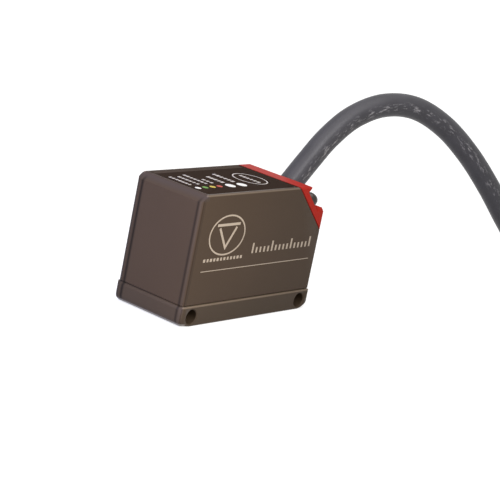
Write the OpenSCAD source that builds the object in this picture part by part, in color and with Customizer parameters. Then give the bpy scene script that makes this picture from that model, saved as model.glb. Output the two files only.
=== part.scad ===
// Compact laser displacement sensor with a fixed pigtail and a round plug.
// Length runs along X, thickness along Y and height along Z, in millimetres.
// The front face with the two windows is the flat bottom, and the cable leaves the slope at +X.

/* [Body] */
// Overall length of the body
body_len = 46; // [44:0.5:54]
// Overall thickness of the body
body_thick = 20; // [20:0.5:26]
// Overall height of the body
body_h = 30; // [30:0.5:38]
// Wall of the die-cast housing
wall = 1.5; // [1.2:0.1:1.7]
// Radius of the housing's upright edges
corner_r = 0.8; // [0.6:0.1:1.6]
// Radius between the top and the plain end
top_end_r = 2; // [1:0.1:2.4]
// Radius of the long top edges
top_edge_r = 0.65; // [0.4:0.05:0.8]
// Radius round the rim that meets the front frame
rim_r = 0.4; // [0.2:0.05:0.5]

/* [Front frame] */
// Height of the front frame
frame_h = 4.8; // [4.6:0.1:6]
// How far the front frame stands proud of the housing
frame_proud = 0.3; // [0.1:0.05:0.5]
// Floor that carries the windows
frame_floor = 1.8; // [1.6:0.1:2.2]
// Radius of the lower end corners
frame_end_r = 2; // [1:0.1:2.2]
// Radius of the upper end corners
frame_top_r = 1; // [0.4:0.1:1.2]
// Radius of the frame's other edges
frame_edge_r = 0.5; // [0.2:0.05:0.6]
// Width of the solid rails beside the optics
rail_w = 5; // [4.8:0.1:5]
// Diameter of the two mounting holes
mount_hole_d = 3.3; // [2.7:0.1:3.4]
// Distance from the end of the frame to a mounting hole
mount_inset = 3.65; // [3.4:0.05:4]
// Height of the mounting holes above the front face
mount_z = 2.25; // [2.2:0.05:2.5]
// Countersink round each mounting hole
mount_mouth = 0.3; // [0.1:0.05:0.4]

/* [Windows] */
// Diameter of the round laser window
laser_window_d = 6; // [5:0.1:6.2]
// Length of the receiver window
receiver_window_len = 10; // [9:0.1:10.4]
// Width of the receiver window
receiver_window_w = 7.4; // [6:0.1:8]
// Thickness of both windows
window_t = 1; // [0.8:0.05:1.1]
// How far the windows lie behind the front face
window_sink = 0.3; // [0.2:0.05:0.4]

/* [Optics] */
// Distance between the laser beam and the middle of the receiver window
base_dist = 12.4; // [12:0.1:12.8]
// Tilt of the receiving lens
receiver_tilt = 35; // [30:1:38]
// Diameter of the laser holder
holder_d = 6.4; // [6:0.1:6.6]
// Room between the tower that carries the laser holder and the top wall
tower_room = 11.5; // [10.5:0.5:13.5]
// Diameter of the lens barrel
barrel_d = 8.4; // [8:0.1:8.4]
// Distance from the receiving lens to the sensor board
focus_dist = 11.4; // [10:0.1:12]

/* [Label and key] */
// Thickness of the label film
film_t = 0.2; // [0.1:0.05:0.4]
// Half width of the select key along the body
key_r = 4.15; // [3.5:0.05:4.3]
// Extra length of the select key across the body
key_stretch = 0.8; // [0:0.1:1.2]
// Middle of the select key along the body
key_x = 3.35; // [2.5:0.05:4]
// Middle of the select key across the body
key_y = -1.05; // [-1.4:0.05:0]
// Travel of the select key
key_travel = 0.3; // [0.2:0.05:0.4]
// Diameter of the status lights
light_d = 2.5; // [2:0.1:2.6]
// First status light along the body
light_x = -7.6; // [-8.2:0.1:-7.2]
// Distance between the two status lights
light_pitch = 4; // [3.8:0.1:4.2]
// Status lights across the body
light_y = -4.4; // [-5:0.1:-4]

/* [Cable cap] */
// How far the slope comes down from the top
slope_drop = 11.4; // [11:0.1:12.4]
// Thickness of the cap above the slope
cap_t = 3.3; // [3:0.1:3.8]
// Floor under the heads of the cap screws
cap_floor = 1.7; // [1.5:0.1:2]
// Upper wall of the screw pockets, up the slope from the cable
pocket_up = 4.5; // [4.2:0.1:4.6]
// Lower wall of the screw pockets, down the slope from the cable
pocket_down = 2.6; // [2.4:0.1:3.2]
// Cap screws up the slope from the cable
cap_screw_up = 0.4; // [0:0.1:1]
// Cap screws inwards from the housing's side
cap_screw_in = 1.8; // [1.8:0.05:2.2]
// Head diameter of the cap screws
cap_head_d = 3.5; // [3.2:0.1:3.5]
// Diameter of the gland in the cap
gland_d = 6.9; // [6.5:0.1:7.2]
// Diameter of the cable
cable_d = 5.7; // [5:0.1:5.8]

/* [Plug] */
// Diameter of the moulded grip
grip_d = 14.6; // [14:0.1:15]
// Length of the moulded grip
grip_len = 25; // [22:0.5:28]
// Diameter of the knurled coupling ring
ring_d = 14.2; // [13.4:0.1:14.4]
// Length of the knurled part of the ring
knurl_len = 9; // [7:0.5:11]
// Diameter of the threaded part of the ring
thread_d = 12; // [11.8:0.1:12.4]
// Length of the threaded part of the ring
thread_len = 7; // [6:0.5:9]
// Diameter of the sleeve inside the ring
sleeve_d = 9.7; // [9.4:0.1:9.8]
// Flutes round the coupling ring
flutes = 24; // [18:2:30]

/* [Hidden] */
$fn = 48;

// Clearances
fit_gap = 0.05;
carrier_gap = 0.2;
key_gap = 0.12;
ring_gap = 0.1;
end_gap = 0.2;
// Overlap of the three views that cut each block, so that no two faces coincide
ease = 0.01;
// Reach of cutting tools past the metal
past = 1;
big = 3 * body_len;

// Housing shell
house_x = body_len / 2 - frame_proud;
house_y = body_thick / 2 - frame_proud;
cavity_x = house_x - wall;
cavity_y = house_y - wall;
cavity_top = body_h - wall;
boss_d = 3.4;
boss_h = 4.6;

// Slope under the cable cap, where length plus height is constant
slope_foot = body_h - slope_drop;
slope_sum = house_x + slope_foot;
slope_mid = [house_x - slope_drop / 2, 0, body_h - slope_drop / 2];
slope_len = slope_drop * sqrt(2);
slope_in_sum = slope_sum - wall * sqrt(2);
cap_out_sum = slope_sum + cap_t * sqrt(2);
cap_edge_r = 0.8;
gasket_t = 0.3;
gasket_inset = 0.6;

// Cap screws
cap_screw_y = house_y - cap_screw_in;
cap_shank_d = 2;
cap_head_h = 2.2;
cap_boss_d = 3.4;
cap_boss_depth = 3.6;
cap_thread = 3;
pocket_side = 0.35;
pocket_in = cap_head_d / 2 + pocket_side;

// Front frame
mount_x = body_len / 2 - mount_inset;
pocket_wall = 1.1;
pocket_x = mount_x - mount_hole_d / 2 - pocket_wall;
pocket_y = body_thick / 2 - rail_w;
groove_inset = 0.55;
groove_w = 0.8;
groove_depth = 0.6;
window_land = 0.7;
frame_screw_in = 3.1;
frame_screw_x = pocket_x - frame_screw_in;
frame_screw_y = body_thick / 2 - frame_screw_in;
frame_screw_d = 1.6;
frame_head_d = 2.8;
frame_head_h = 0.8;
frame_thread = 3.6;

// Optics carrier
carrier_x = pocket_x - carrier_gap;
carrier_y = pocket_y - carrier_gap;
bar_h = 3;
tower_top = cavity_top - tower_room;
holder_wall = 0.8;
emitter_x = carrier_x - holder_wall - holder_d / 2;
receiver_x = emitter_x - base_dist;
lens_rise = 6.2;
lens_z = frame_floor + lens_rise;
window_z = window_sink + window_t / 2;
lens_x = receiver_x - (lens_z - window_z) * tan(receiver_tilt);
barrel_wall = 1;
receiver_half_w = barrel_d / 2 + barrel_wall;
barrel_front = 2.4;
barrel_back = 2.5;
light_bore_d = 6.6;
standoff_h = 0.6;
standoff_d = 2.8;
carrier_screw_x = (emitter_x - laser_window_d / 2 + receiver_x + receiver_window_len / 2) / 2;
carrier_screw_d = 1.2;
carrier_head_d = 2.4;
carrier_head_h = 0.6;
carrier_thread = 2;

// Laser module
holder_foot = 3;
holder_lip = 0.6;
holder_bore_d = 4.8;
holder_flange_d = 7.6;
holder_flange_t = 1;
diode_flange_d = 5.4;
diode_flange_t = 1.2;
diode_can_d = 3.6;
diode_can_h = 2.2;
diode_lead_d = 0.45;
diode_lead_ring = 1.27;
diode_sink = 0.2;
diode_top = tower_top + holder_flange_t - diode_sink;
laser_board_rise = 0.8;
laser_board_t = 0.8;
laser_board_w = 8.4;
lead_stub = 0.4;
diode_lead_len = diode_flange_t + laser_board_rise + laser_board_t + lead_stub;

// Receiving lens and line sensor
lens_d = 6.4;
lens_t = 3.4;
lens_curve_r = 7;
barrel_bore_d = 6.6;
barrel_lip = 0.5;
barrel_lip_d = 5.8;
chip_len = 8.8;
chip_w = 4;
chip_t = 1;
chip_gap = 0.2;
sensor_board_t = 0.8;
sensor_board_edge = 1;
sensor_board_len = chip_len + 2 * sensor_board_edge;
flex_t = 0.15;
flex_w = 4;
flex_start = -1.5;

// Key board hung under the housing's top
flange_gap = 0.1;
flange_t = 0.4;
flange_w = 0.7;
flange_z = cavity_top - flange_gap - flange_t;
switch_top = flange_z - key_travel - flange_gap;
switch_h = 1.2;
switch_w = 4.5;
plunger_d = 1.8;
plunger_in = 0.5;
key_board_t = 0.8;
key_board_top = switch_top - switch_h;
key_board_low = key_board_top - key_board_t;
board_past_light = 5.4;
board_past_key = 1.6;
board_side_gap = 1;
key_board_x0 = light_x - board_past_light;
key_board_x1 = key_x + key_r + board_past_key;
key_board_y = cavity_y - board_side_gap;
post_d = 2.4;
post_in = 1.5;
key_posts = [[key_board_x0 + post_in, post_in - key_board_y], [key_board_x0 + post_in, key_board_y - post_in],
    [key_board_x1 - post_in, key_board_y - post_in]];
small_screw_d = 1.2;
small_head_d = 2;
small_head_h = 0.7;
post_thread = 1.5;
led_w = 1.6;
led_h = 0.8;
guide_flange_d = 3.4;
guide_flange_t = 0.5;

// Label
label_end = 2.1;
label_side = 0.8;
label_x0 = label_end - house_x;
label_slope_gap = 0.9;
label_x1 = slope_sum - body_h - label_slope_gap;
label_y = house_y - label_side;
label_corner_r = 0.8;

// Main board beside the optics
main_board_t = 1;
main_board_y = carrier_y + standoff_h;
board_boss_gap = 0.8;
board_end_gap = 1.4;
board_past_screw = 2.6;
board_slope_gap = 0.4;
connector_h = 1.4;
main_board_low = frame_h + boss_h + board_boss_gap;
main_board_top = key_board_low - connector_h;
main_board_x0 = board_end_gap - cavity_x;
main_board_x1 = emitter_x + board_past_screw;
main_board_sum = slope_sum - (cap_boss_depth + board_slope_gap) * sqrt(2);
board_screw_drop = 2.5;
board_screw_z = tower_top - board_screw_drop;
board_screw_rise = 9;
board_screws_at = [[emitter_x, board_screw_z],
    [lens_x - board_screw_rise * sin(receiver_tilt), lens_z + board_screw_rise * cos(receiver_tilt)]];
board_thread = 1.2;
processor_w = 7;
processor_t = 0.8;
processor_off = 2;
processor_x = receiver_x + processor_off;
small_chip = [3.2, 0.7, 4.4];
chips_rise = 4;
// Small chips lie midway between the board's end, its screws and the processor
screw_half = small_head_d / 2;
processor_half = processor_w / 2;
small_chips_x = [(main_board_x0 + board_screws_at[1].x - screw_half) / 2,
    (board_screws_at[1].x + screw_half + processor_x - processor_half) / 2,
    (processor_x + processor_half + board_screws_at[0].x - screw_half) / 2];
connector_len = 8;

// Cable gland and leads
gland_in = 0.5;
gland_sleeve = 0.15;
gland_neck_d = cable_d + 2 * gland_sleeve;
gland_neck_t = 1;
lead_d = 0.9;
lead_bend_d = 1;
lead_pitch = 1.2;
lead_out = 1;
lead_drop = 0.6;
lead_in = 6.5;
lead_x0 = main_board_x1 - lead_in;
lead_row = 1.5;
lead_gap = 0.45;
lead_below = 1.6;
lead_z = main_board_top - lead_below;

// Route of the cable after it leaves the cap, ending at the back of the plug
cable_sides = 10;
slope_out = [sqrt(0.5), 0, sqrt(0.5)];
cable_start = slope_mid + slope_out * cap_t;
cable_route = [[25.5, 0, 32.8], [32, 0, 38.6], [39.5, -0.7, 43.6], [48, -2.8, 46.8], [57, -6, 46.8],
    [65.5, -10, 43], [73, -14.2, 36.6], [80, -18, 28.8], [87, -21, 20.6], [95, -23.2, 13],
    [104, -24.5, 7.3], [114, -25, 4.2], [124.5, -25, 3.1], [135.5, -25, 2.95], [146.5, -25, 3.05],
    [157.5, -25, 3.9], [168.5, -25, 5.5], [180, -25, 6.8]];
plug_at = [192.3, -25, grip_d / 2];
cable_points = concat([cable_start], cable_route, [plug_at]);
cable_last = len(cable_points) - 1;

// Round plug, measured along its own axis from the cable
grip_back_d = 8.4;
grip_taper = 12;
grip_groove_d = 1.6;
grip_rim = 1.5;
grip_grooves = 12;
sleeve_past = 1.4;
sleeve_len = knurl_len + thread_len + sleeve_past;
sleeve_end = grip_len + sleeve_len;
snap_h = 0.4;
snap_d = sleeve_d + 2 * snap_h;
snap_len = 0.6;
socket_d = 8.5;
socket_in = 5;
socket_floor = grip_len + socket_in;
insert_len = 4.5;
pin_d = 0.8;
pin_len = 6.5;
pin_ring_d = 5.5;
pins_round = 7;
ring_bore_d = sleeve_d + 2 * ring_gap;
ring_start = grip_len + end_gap;
thread_start = ring_start + knurl_len;
seal_d = 1.4;
relief_len = 1.6;
relief_depth = 0.6;
relief_d = thread_d - 2 * relief_depth;
flute_d = 1;

// Corners of an upright rectangle
function rect(x0, y0, x1, y1) = [[x0, y0], [x1, y0], [x1, y1], [x0, y1]];

// Takes the point off one convex corner and leaves a true arc
module corner_cut(before, corner, after, r) {
    to_before = (before - corner) / norm(before - corner);
    to_after = (after - corner) / norm(after - corner);
    half_angle = acos(to_before * to_after) / 2;
    reach = r / tan(half_angle);
    centre = corner + (to_before + to_after) / norm(to_before + to_after) * r / sin(half_angle);
    difference() {
        polygon([corner, corner + to_before * reach, centre, corner + to_after * reach]);
        translate(centre) circle(r);
    }
}

// Outline with a radius for each of its convex corners
module rounded(points, radii) {
    count = len(points);
    difference() {
        polygon(points);
        for (i = [0 : count - 1])
            if (radii[i] > 0)
                corner_cut(points[(i + count - 1) % count], points[i], points[(i + 1) % count], radii[i]);
    }
}

module rounded_rect(half_x, half_y, r) {
    rounded(rect(-half_x, -half_y, half_x, half_y), [r, r, r, r]);
}

// Draws a side view, given as length and height, through the thickness
module across(width) {
    rotate([90, 0, 0]) linear_extrude(width, center = true) children();
}

// Draws an end view, given as thickness and height, through the length
module along(length) {
    rotate([90, 0, 90]) linear_extrude(length, center = true) children();
}

// Frame on the slope: up is out of the slope, and X runs down it
module on_slope() {
    translate(slope_mid) rotate([0, 45, 0]) children();
}

// Frame of the receiving lens: up runs along the optical axis to the line sensor
module on_receiver() {
    translate([lens_x, 0, lens_z]) rotate([0, -receiver_tilt, 0]) children();
}

module mirrored_y() {
    children();
    mirror([0, 1, 0]) children();
}

module at_frame_screws() {
    for (x = [-frame_screw_x, frame_screw_x], y = [-frame_screw_y, frame_screw_y])
        translate([x, y, 0]) children();
}

module at_carrier_screws() {
    for (x = [-frame_screw_x, carrier_screw_x])
        translate([x, 0, 0]) children();
}

module at_cap_screws() {
    on_slope() mirrored_y() translate([-cap_screw_up, cap_screw_y, 0]) children();
}

module at_lights() {
    for (i = [0, 1])
        translate([light_x + i * light_pitch, light_y, 0]) children();
}

module at_key_posts() {
    for (p = key_posts)
        translate([p.x, p.y, 0]) children();
}

module at_board_screws() {
    for (p = board_screws_at)
        translate([p.x, 0, p.y]) rotate([-90, 0, 0]) children();
}

// Stadium outline of the key, grown by a margin
module key_outline(margin) {
    translate([key_x, key_y]) {
        for (side = [-1, 1])
            translate([0, side * key_stretch / 2]) circle(key_r + margin);
        square([2 * (key_r + margin), key_stretch], center = true);
    }
}

// Round rod between two points
module rod(from, to, d) {
    span = to - from;
    translate(from)
        rotate([0, acos(span.z / norm(span)), atan2(span.y, span.x)]) cylinder(d = d, h = norm(span));
}

// Countersunk screw pointing up, with its head flush with the plane it sits in
module countersunk_screw(d, head_d, head_h, length) {
    difference() {
        union() {
            cylinder(d1 = head_d, d2 = d, h = head_h, $fn = 32);
            cylinder(d = d, h = length, $fn = 32);
        }
        translate([0, 0, -past]) cylinder(d = head_d * 0.4, h = past + head_h * 0.6, $fn = 6);
    }
}

module countersunk_hole(d, head_d, head_h, length) {
    cylinder(d1 = head_d + 2 * fit_gap, d2 = d + 2 * fit_gap, h = head_h, $fn = 32);
    translate([0, 0, -past]) cylinder(d = head_d + 2 * fit_gap, h = past, $fn = 32);
    cylinder(d = d + 2 * fit_gap, h = length, $fn = 32);
}

// Pan-head screw pointing down, with a hexagon socket in a domed head
module pan_screw(d, head_d, head_h, length) {
    difference() {
        rotate_extrude($fn = 40)
            rounded(rect(0, 0, head_d / 2, head_h), [0, 0, head_h * 0.6, 0]);
        translate([0, 0, head_h * 0.4]) cylinder(d = head_d * 0.5, h = head_h, $fn = 6);
    }
    translate([0, 0, -length]) cylinder(d = d, h = length, $fn = 32);
}

// Block cut by a plan, a side and an end view, each with its own edge radii
module housing_block() {
    intersection() {
        linear_extrude(2 * body_h) rounded_rect(house_x, house_y, corner_r);
        across(big) rounded(rect(-house_x - ease, frame_h, house_x + ease, body_h),
            [rim_r, rim_r, 0, top_end_r]);
        along(big) rounded(rect(-house_y - ease, frame_h - ease, house_y + ease, body_h + ease),
            [rim_r, rim_r, top_edge_r, top_edge_r]);
    }
}

module housing_cavity() {
    across(2 * cavity_y)
        polygon([[-cavity_x, frame_h - past], [cavity_x, frame_h - past], [cavity_x, slope_in_sum - cavity_x],
            [slope_in_sum - cavity_top, cavity_top], [-cavity_x, cavity_top]]);
}

// Die-cast housing, open below, with the cable slope at its rear top corner
module housing() {
    color("#55493f") difference() {
        union() {
            difference() {
                housing_block();
                housing_cavity();
                on_slope() translate([-big / 2, -big / 2, 0]) cube(big);
            }
            at_frame_screws() translate([0, 0, frame_h]) cylinder(d = boss_d, h = boss_h);
            at_key_posts() translate([0, 0, key_board_top])
                cylinder(d = post_d, h = cavity_top - key_board_top + ease);
            at_cap_screws() translate([0, 0, -cap_boss_depth])
                cylinder(d = cap_boss_d, h = cap_boss_depth - wall + ease);
        }
        translate([0, 0, body_h - film_t]) linear_extrude(past) label_outline();
        translate([0, 0, cavity_top - past]) linear_extrude(wall + 2 * past) key_outline(key_gap);
        at_lights() translate([0, 0, cavity_top - past])
            cylinder(d = light_d + 2 * fit_gap, h = wall + 2 * past);
        at_frame_screws() translate([0, 0, frame_h - past])
            cylinder(d = frame_screw_d + 2 * fit_gap, h = frame_thread + 2 * fit_gap + past);
        at_key_posts() translate([0, 0, key_board_top - past])
            cylinder(d = small_screw_d + 2 * fit_gap, h = post_thread + fit_gap + past);
        at_cap_screws() translate([0, 0, -cap_thread - fit_gap])
            cylinder(d = cap_shank_d + 2 * fit_gap, h = cap_thread + past);
        on_slope() translate([0, 0, -2 * wall]) cylinder(d = gland_d + 2 * fit_gap, h = 2 * wall + past);
    }
}

// Thick front frame with the windows, the screw rails and the two mounting holes
module front_frame() {
    color("#4d4239") difference() {
        intersection() {
            translate([0, 0, -past]) linear_extrude(frame_h + 2 * past)
                rounded_rect(body_len / 2, body_thick / 2, corner_r + frame_proud);
            across(big) rounded(rect(-body_len / 2 - ease, 0, body_len / 2 + ease, frame_h),
                [frame_end_r, frame_end_r, frame_top_r, frame_top_r]);
            along(big) rounded(rect(-body_thick / 2 - ease, -ease, body_thick / 2 + ease, frame_h + ease),
                [frame_edge_r, frame_edge_r, frame_edge_r, frame_edge_r]);
        }
        translate([-pocket_x, -pocket_y, frame_floor]) cube([2 * pocket_x, 2 * pocket_y, frame_h]);
        translate([0, 0, frame_h - groove_depth]) linear_extrude(groove_depth + past)
            gasket_ring(groove_inset, groove_w);
        translate([emitter_x, 0, -past]) {
            cylinder(d = laser_window_d + 2 * fit_gap, h = past + window_sink + window_t);
            cylinder(d = laser_window_d - 2 * window_land, h = 2 * past + frame_floor);
        }
        translate([receiver_x, 0, -past]) {
            linear_extrude(past + window_sink + window_t) receiver_outline(fit_gap);
            linear_extrude(2 * past + frame_floor) receiver_outline(-window_land);
        }
        for (side = [-1, 1])
            translate([side * mount_x, 0, mount_z]) rotate([90, 0, 0]) mount_hole();
        at_frame_screws() countersunk_hole(frame_screw_d, frame_head_d, frame_head_h, frame_h + past);
        at_carrier_screws() countersunk_hole(carrier_screw_d, carrier_head_d, carrier_head_h, frame_h);
    }
}

// Mounting hole through the thickness, countersunk at both sides
module mount_hole() {
    cylinder(d = mount_hole_d, h = 2 * body_thick, center = true);
    for (side = [-1, 1])
        scale([1, 1, side]) translate([0, 0, body_thick / 2 - mount_mouth])
            cylinder(d1 = mount_hole_d, d2 = mount_hole_d + 4 * mount_mouth, h = 2 * mount_mouth);
}

module gasket_ring(inset, width) {
    difference() {
        rounded_rect(house_x - inset, house_y - inset, corner_r - inset / 2);
        square([2 * (house_x - inset - width), 2 * (house_y - inset - width)], center = true);
    }
}

module receiver_outline(margin) {
    rounded_rect(receiver_window_len / 2 + margin, receiver_window_w / 2 + margin, window_t + margin / 2);
}

module frame_gasket() {
    color("#202022") translate([0, 0, frame_h - groove_depth]) linear_extrude(groove_depth)
        gasket_ring(groove_inset + fit_gap, groove_w - 2 * fit_gap);
}

module frame_screws() {
    color("#2b2b2d") at_frame_screws()
        countersunk_screw(frame_screw_d, frame_head_d, frame_head_h, frame_h + frame_thread);
}

module laser_window() {
    color("#7d2a2a") translate([emitter_x, 0, window_sink]) cylinder(d = laser_window_d, h = window_t);
}

module receiver_window() {
    color("#5b1f1f") translate([receiver_x, 0, window_sink]) linear_extrude(window_t) receiver_outline(0);
}

// Cast carrier that holds the laser upright and the receiving lens at its tilt
module optics_carrier() {
    color("#8f9194") difference() {
        union() {
            across(2 * carrier_y) carrier_profile();
            at_board_screws() translate([0, 0, carrier_y - past])
                cylinder(d = standoff_d, h = standoff_h + past);
        }
        translate([emitter_x, 0, 0]) cylinder(d = holder_d + 2 * fit_gap, h = tower_top + past);
        on_receiver() {
            translate([0, 0, -2 * focus_dist])
                cylinder(d = barrel_d + 2 * fit_gap, h = 2 * focus_dist + barrel_back);
            cylinder(d = light_bore_d, h = focus_dist + past);
            translate([-chip_len / 2 - chip_gap, -chip_w / 2 - chip_gap, focus_dist - chip_t - chip_gap])
                cube([chip_len + 2 * chip_gap, chip_w + 2 * chip_gap, chip_t + chip_gap + past]);
        }
        at_carrier_screws()
            cylinder(d = carrier_screw_d + 2 * fit_gap, h = frame_floor + carrier_thread + fit_gap);
        at_board_screws() translate([0, 0, main_board_y - board_thread - fit_gap])
            cylinder(d = small_screw_d + 2 * fit_gap, h = board_thread + past);
    }
}

module carrier_profile() {
    polygon(rect(-carrier_x, frame_floor, carrier_x, frame_floor + bar_h));
    polygon(rect(emitter_x - holder_d / 2 - holder_wall, frame_floor, carrier_x, tower_top));
    translate([lens_x, lens_z]) rotate(receiver_tilt)
        polygon(rect(-receiver_half_w, -barrel_front - holder_wall, receiver_half_w, focus_dist));
}

module carrier_screws() {
    color("#2b2b2d") at_carrier_screws()
        countersunk_screw(carrier_screw_d, carrier_head_d, carrier_head_h, frame_floor + carrier_thread);
}

// Brass tube with a flange on the tower and a lip under the collimator
module laser_holder() {
    color("#b08d4a") translate([emitter_x, 0, 0]) difference() {
        union() {
            translate([0, 0, holder_foot]) cylinder(d = holder_d, h = tower_top - holder_foot);
            translate([0, 0, tower_top]) cylinder(d = holder_flange_d, h = holder_flange_t);
        }
        translate([0, 0, holder_foot + holder_lip]) cylinder(d = holder_bore_d, h = tower_top);
        cylinder(d = holder_bore_d - 2 * holder_lip, h = tower_top);
        translate([0, 0, diode_top - diode_flange_t])
            cylinder(d = diode_flange_d + 2 * fit_gap, h = diode_flange_t + past);
    }
}

// Laser diode in a round metal can with three leads
module laser_diode() {
    color("#c9b26a") translate([emitter_x, 0, diode_top - diode_flange_t]) {
        cylinder(d = diode_flange_d, h = diode_flange_t);
        translate([0, 0, -diode_can_h]) cylinder(d = diode_can_d, h = diode_can_h);
        for (i = [0 : 2])
            rotate(120 * i) translate([diode_lead_ring, 0, 0])
                cylinder(d = diode_lead_d, h = diode_lead_len, $fn = 16);
    }
}

module collimator_lens() {
    color("#c8d8de") translate([emitter_x, 0, holder_foot + holder_lip])
        lens(holder_bore_d - 2 * fit_gap, holder_bore_d / 2, holder_bore_d);
}

// Lens with a flat foot and a spherical top
module lens(d, t, curve_r) {
    intersection() {
        cylinder(d = d, h = t);
        translate([0, 0, t - curve_r]) sphere(curve_r);
    }
}

module laser_board() {
    color("#2e5a3c") translate([emitter_x, 0, diode_top + laser_board_rise]) difference() {
        translate([-laser_board_w / 2, -laser_board_w / 2, 0])
            cube([laser_board_w, laser_board_w, laser_board_t]);
        for (i = [0 : 2])
            rotate(120 * i) translate([diode_lead_ring, 0, -past])
                cylinder(d = diode_lead_d + 2 * fit_gap, h = laser_board_t + 2 * past, $fn = 16);
    }
}

module lens_barrel() {
    color("#1d1d1f") on_receiver() difference() {
        translate([0, 0, -barrel_front]) cylinder(d = barrel_d, h = barrel_front + barrel_back);
        translate([0, 0, barrel_lip - barrel_front]) cylinder(d = barrel_bore_d, h = big);
        translate([0, 0, -big / 2]) cylinder(d = barrel_lip_d, h = big);
    }
}

module receiver_lens() {
    color("#b9ccd6") on_receiver() intersection() {
        cylinder(d = lens_d, h = lens_t, center = true);
        translate([0, 0, lens_curve_r - lens_t / 2]) sphere(lens_curve_r);
        translate([0, 0, lens_t / 2 - lens_curve_r]) sphere(lens_curve_r);
    }
}

module sensor_board() {
    color("#2e5a3c") on_receiver()
        translate([-sensor_board_len / 2, -carrier_y + carrier_gap, focus_dist])
            cube([sensor_board_len, 2 * (carrier_y - carrier_gap), sensor_board_t]);
}

module image_sensor() {
    color("#3a3d44") on_receiver()
        translate([-chip_len / 2, -chip_w / 2, focus_dist - chip_t]) cube([chip_len, chip_w, chip_t]);
}

// Flat ribbon from the back of the sensor board to the main board
module sensor_flex() {
    color("#b87333") on_receiver()
        translate([-flex_w / 2, flex_start, focus_dist + sensor_board_t])
            cube([flex_w, main_board_y - flex_start, flex_t]);
}

module main_board() {
    color("#2e5a3c") difference() {
        translate([0, main_board_y + main_board_t / 2, 0]) across(main_board_t)
            polygon([[main_board_x0, main_board_low], [main_board_x1, main_board_low],
                [main_board_x1, main_board_sum - main_board_x1],
                [main_board_sum - main_board_top, main_board_top], [main_board_x0, main_board_top]]);
        at_board_screws() cylinder(d = small_screw_d + 2 * fit_gap, h = body_thick, $fn = 24);
    }
}

module board_screws() {
    color("#9a9a9c") at_board_screws() translate([0, 0, main_board_y + main_board_t])
        pan_screw(small_screw_d, small_head_d, small_head_h, main_board_t + board_thread);
}

module on_main_board(x, size) {
    translate([x - size.x / 2, main_board_y + main_board_t, main_board_low + chips_rise]) cube(size);
}

module signal_processor() {
    color("#242528") on_main_board(processor_x, [processor_w, processor_t, processor_w]);
}

module small_chips() {
    color("#2a2b2e") for (x = small_chips_x)
        on_main_board(x, small_chip);
}

module board_connector() {
    color("#d8d4c8") translate([-connector_len / 2, main_board_y, main_board_top])
        cube([connector_len, main_board_t, connector_h]);
}

module key_board() {
    color("#2e5a3c") difference() {
        translate([key_board_x0, -key_board_y, key_board_low])
            cube([key_board_x1 - key_board_x0, 2 * key_board_y, key_board_t]);
        at_key_posts() cylinder(d = small_screw_d + 2 * fit_gap, h = body_h, $fn = 24);
    }
}

module key_board_screws() {
    color("#9a9a9c") at_key_posts() translate([0, 0, key_board_low]) mirror([0, 0, 1])
        pan_screw(small_screw_d, small_head_d, small_head_h, key_board_t + post_thread);
}

module status_leds() {
    color("#f1ead2") at_lights() translate([-led_w / 2, -led_w / 2, key_board_top]) cube([led_w, led_w, led_h]);
}

// Clear rods that bring the status lights up through the label
module light_guides() {
    color("#f4f1ea") at_lights() {
        translate([0, 0, key_board_top + led_h]) cylinder(d = light_d, h = body_h - key_board_top - led_h);
        translate([0, 0, cavity_top - flange_gap - guide_flange_t])
            cylinder(d = guide_flange_d, h = guide_flange_t);
    }
}

module switch_body() {
    color("#26272a") difference() {
        translate([key_x - switch_w / 2, key_y - switch_w / 2, key_board_top])
            cube([switch_w, switch_w, switch_h]);
        translate([key_x, key_y, switch_top - plunger_in - key_travel - flange_gap])
            cylinder(d = plunger_d + 2 * ring_gap, h = switch_h);
    }
}

module switch_plunger() {
    color("#d8d4c8") translate([key_x, key_y, switch_top - plunger_in])
        cylinder(d = plunger_d, h = flange_z - switch_top + plunger_in);
}

// Key pad flush with the label, held by a flange under the housing's top
module select_key() {
    color("#3a332d") {
        translate([0, 0, flange_z]) linear_extrude(flange_t) key_outline(flange_w);
        translate([0, 0, flange_z + flange_t / 2])
            linear_extrude(body_h - flange_z - flange_t / 2) key_outline(0);
    }
}

module label_outline() {
    rounded(rect(label_x0, -label_y, label_x1, label_y),
        [label_corner_r, label_corner_r, label_corner_r, label_corner_r]);
}

module label_film() {
    color("#3a332d") translate([0, 0, body_h - film_t]) linear_extrude(film_t) difference() {
        label_outline();
        key_outline(key_gap);
        at_lights() circle(light_d / 2 + fit_gap);
    }
}

// Red cable cap on the slope, flush with the top, the sides and the end of the housing
module cable_cap() {
    color("#c8302c") difference() {
        intersection() {
            linear_extrude(2 * body_h) rounded_rect(house_x, house_y, corner_r);
            across(big) cap_profile();
            along(big) rounded(rect(-house_y - ease, frame_h, house_y + ease, body_h + ease),
                [0, 0, top_edge_r, top_edge_r]);
        }
        on_slope() {
            cylinder(d = gland_d + 2 * fit_gap, h = cap_t - gland_neck_t);
            cylinder(d = gland_neck_d + 2 * fit_gap, h = cap_t + past);
        }
        at_cap_screws() {
            cylinder(d = cap_shank_d + 4 * fit_gap, h = cap_t);
            translate([cap_screw_up - pocket_up, -pocket_in, cap_floor])
                cube([pocket_up + pocket_down, body_thick, cap_t]);
        }
    }
}

module cap_profile() {
    end_x = house_x + ease;
    inner_sum = slope_sum + gasket_t * sqrt(2);
    rounded([[inner_sum - body_h, body_h], [end_x, inner_sum - end_x], [end_x, cap_out_sum - end_x],
        [cap_out_sum - body_h, body_h]], [0, 0, cap_edge_r, cap_edge_r]);
}

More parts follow.
